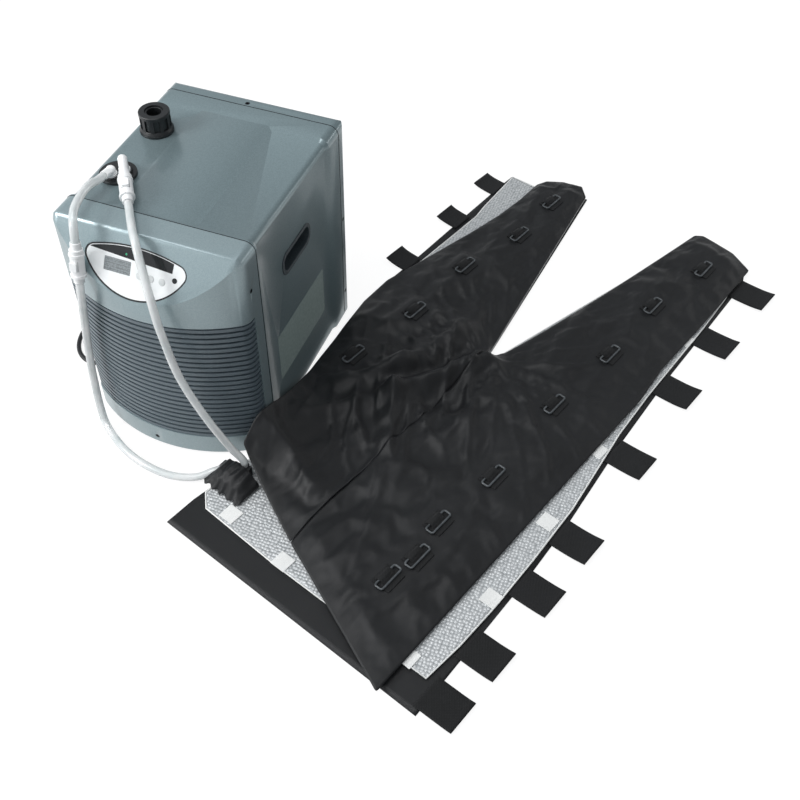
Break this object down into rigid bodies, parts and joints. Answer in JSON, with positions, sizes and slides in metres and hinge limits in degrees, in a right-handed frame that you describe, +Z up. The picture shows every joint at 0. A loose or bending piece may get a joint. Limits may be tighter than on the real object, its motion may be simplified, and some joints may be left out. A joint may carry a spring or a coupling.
{
  "type": "hot cold therapy machine",
  "caption": "Tabletop hot and cold water therapy unit with a louvred front, sloped control panel and water union, joined by two hoses to a pair of therapy trousers.",
  "frame": {"origin": "centre of the machine's footprint, on the floor its rubber feet stand on", "axes": "+X to the right seen from the control panel, -Y towards the user, +Z up"},
  "size_m": [1.0344, 1.0822, 0.3883],
  "materials": {
    "housing": "Metallic teal-grey lacquer on moulded plastic",
    "housing_face": "Lighter metallic teal-grey lacquer on moulded plastic",
    "grille": "Satin grey moulded plastic",
    "filter_mesh": "Woven filter mesh in a plastic frame",
    "pan_steel": "Grey powder coat on folded steel",
    "rubber_black": "Black moulded rubber",
    "screw_black": "Black oxide steel screws",
    "grip_dark": "Dark grey fine-grained plastic",
    "plate_grey": "Bare grey-green plastic plate",
    "fascia_white": "White gloss plastic",
    "gasket_black": "Black rubber gasket",
    "lens_grey": "Grey display window",
    "strip_black": "Black gloss plastic strip",
    "led_green": "Green translucent lamp",
    "board_green": "Circuit board lacquer",
    "button_grey": "Pale grey plastic",
    "fitting_black": "Black glass-filled plastic",
    "fitting_white": "White acetal plastic",
    "fin_metal": "Bare aluminium fins",
    "motor_steel": "Grey painted motor can",
    "compressor_paint": "Black painted steel can",
    "tank_steel": "Stainless steel tank",
    "pipe_copper": "Copper pipe",
    "hose_clear": "Milky translucent tubing",
    "cord_rubber": "Black cord sheath",
    "nylon_black": "Near-black coated nylon",
    "liner_silver": "Silver-grey quilted lining",
    "ring_grey": "Dark grey plastic rings",
    "webbing_black": "Black webbing"
  },
  "bodies": {
    "housing": {"main_shell": "housing", "front_bezel": "housing_face", "front_grille": "grille", "air_filter": "filter_mesh", "rear_cover": "housing", "base_pan": "pan_steel", "rubber_feet": "rubber_black", "housing_screws": "screw_black", "grip_cup_right": "grip_dark", "grip_cup_left": "grip_dark", "side_plate": "plate_grey", "control_fascia": "fascia_white", "fascia_gasket": "gasket_black", "display_lens": "lens_grey", "indicator_strip": "strip_black", "status_led": "led_green", "control_board": "board_green", "port_stub": "fitting_black", "hose_socket": "fitting_black", "supply_elbow": "fitting_white", "return_elbow": "fitting_white", "supply_coupling": "fitting_white", "return_coupling": "fitting_white", "condenser_coil": "fin_metal", "fan_shroud": "grip_dark", "fan_motor": "motor_steel", "compressor": "compressor_paint", "compressor_mounts": "rubber_black", "chilled_tank": "tank_steel", "water_pump": "grip_dark", "internal_pipes": "pipe_copper", "rocker_frame": "fitting_black", "cord_gland": "rubber_black", "supply_hose": "hose_clear", "link_hose": "hose_clear", "return_hose": "hose_clear", "power_cord": "cord_rubber", "cord_coil": "cord_rubber", "cord_plug": "cord_rubber", "back_panel_right": "nylon_black", "back_panel_left": "nylon_black", "liner_right": "liner_silver", "liner_left": "liner_silver", "front_panel_right": "nylon_black", "front_panel_left": "nylon_black", "side_tabs": "nylon_black", "strap_rings": "ring_grey", "ring_straps": "webbing_black", "garment_port": "fitting_black"},
    "power_button": {"power_button": "fitting_black"},
    "set_button": {"set_button": "button_grey"},
    "down_button": {"down_button": "button_grey"},
    "up_button": {"up_button": "button_grey"},
    "union_tail": {"union_tail": "fitting_black"},
    "union_nut": {"union_nut": "fitting_black"},
    "supply_latch": {"supply_latch": "fitting_white"},
    "return_latch": {"return_latch": "fitting_white"},
    "fan": {"fan_blade": "grip_dark"},
    "impeller": {"pump_impeller": "fascia_white"},
    "rocker": {"rocker_switch": "fitting_black"}
  },
  "joints": [
    {"name": "power_button_press", "type": "slide", "parent": "housing", "child": "power_button", "axis": [0, 0.8524, -0.5228], "range_m": [0, 0.0008], "stiffness_N_per_m": 400},
    {"name": "set_button_press", "type": "slide", "parent": "housing", "child": "set_button", "axis": [0, 0.8524, -0.5228], "range_m": [0, 0.0008], "stiffness_N_per_m": 400},
    {"name": "down_button_press", "type": "slide", "parent": "housing", "child": "down_button", "axis": [0, 0.8524, -0.5228], "range_m": [0, 0.0008], "stiffness_N_per_m": 400},
    {"name": "up_button_press", "type": "slide", "parent": "housing", "child": "up_button", "axis": [0, 0.8524, -0.5228], "range_m": [0, 0.0008], "stiffness_N_per_m": 400},
    {"name": "union_tail_lift", "type": "slide", "parent": "housing", "child": "union_tail", "axis": [0, 0, 1], "range_m": [0, 0.0075]},
    {"name": "union_nut_turn", "type": "hinge", "parent": "union_tail", "child": "union_nut", "pos_m": [-0.097, 0.045, 0.38], "axis": [0, 0, 1], "range_deg": [0, 905]},
    {"name": "supply_latch_press", "type": "slide", "parent": "housing", "child": "supply_latch", "axis": [-0.0708, 0.1047, -0.992], "range_m": [0, 0.002], "stiffness_N_per_m": 500},
    {"name": "return_latch_press", "type": "slide", "parent": "housing", "child": "return_latch", "axis": [-0.0746, 0.9692, -0.2347], "range_m": [0, 0.002], "stiffness_N_per_m": 500},
    {"name": "fan_spin", "type": "hinge", "parent": "housing", "child": "fan", "pos_m": [0, -0.0958, 0.1195], "axis": [0, 1, 0], "continuous": true},
    {"name": "impeller_spin", "type": "hinge", "parent": "housing", "child": "impeller", "pos_m": [-0.092, -0.048, 0.03], "axis": [0, 0, 1], "continuous": true},
    {"name": "rocker_tilt", "type": "hinge", "parent": "housing", "child": "rocker", "pos_m": [-0.048, 0.1615, 0.045], "axis": [1, 0, 0], "range_deg": [0, 18]}
  ],
  "couplings": [
    {"joint": "union_nut_turn", "follows": "union_tail_lift", "rad_per_m": 2094.4}
  ]
}
